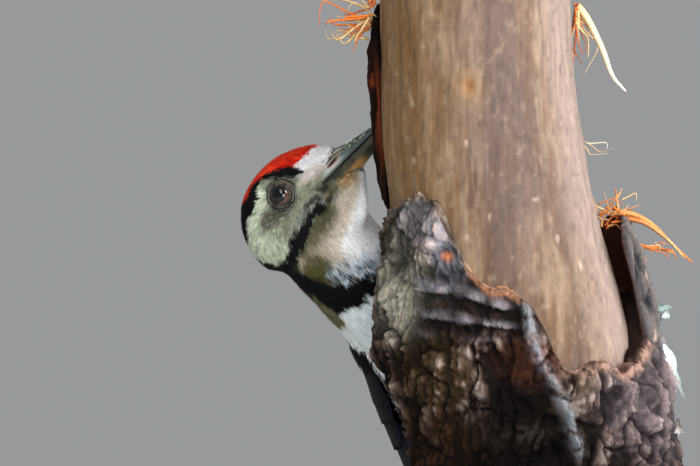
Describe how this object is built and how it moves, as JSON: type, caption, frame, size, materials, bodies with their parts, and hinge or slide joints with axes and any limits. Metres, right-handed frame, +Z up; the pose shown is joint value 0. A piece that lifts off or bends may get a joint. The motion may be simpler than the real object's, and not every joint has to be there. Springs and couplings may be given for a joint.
{
  "type": "woodpecker",
  "caption": "Life-size still model of a young great spotted woodpecker clinging to a short cut length of half-stripped trunk, on a flat display base with short rods",
  "frame": {"origin": "middle of the underside of the stand's base", "axes": "+Z up; the bird clings to the +Y side of the trunk, its head shows past the -X side, and +X is to the right of someone looking along +Y"},
  "size_m": [0.1639, 0.1586, 0.332],
  "materials": {
    "plumage": "soft barbed feathers, white, red and black",
    "flight_feathers": "smooth blue-black vanes with white spots",
    "horn": "satin slate-grey horn",
    "eye": "wet brown iris under a clear cornea",
    "leg_scales": "small grey scales",
    "bare_wood": "weathered tan-grey stripped wood",
    "bark": "rough cracked dark bark",
    "stand_paint": "satin black paint",
    "stand_steel": "brushed"
  },
  "bodies": {
    "root": {"head": "plumage", "neck": "plumage", "body": "plumage", "thigh_right": "plumage", "thigh_left": "plumage", "wing_right": "flight_feathers", "wing_left": "flight_feathers", "tail": "flight_feathers", "bill_upper": "horn", "bill_lower": "horn", "eye_right": "eye", "eye_left": "eye", "tarsus_right": "leg_scales", "tarsus_left": "leg_scales", "foot_right": "leg_scales", "foot_left": "leg_scales", "claw_right_1": "horn", "claw_right_2": "horn", "claw_right_3": "horn", "claw_right_4": "horn", "claw_left_1": "horn", "claw_left_2": "horn", "claw_left_3": "horn", "claw_left_4": "horn", "perch_wood": "bare_wood", "perch_bark_left": "bark", "perch_bark_front": "bark", "perch_bark_back": "bark", "perch_bark_strip_left": "bark", "perch_bark_strip_right": "bark", "stand_base": "stand_paint", "stand_rod_1": "stand_steel", "stand_rod_2": "stand_steel"}
  },
  "joints": []
}
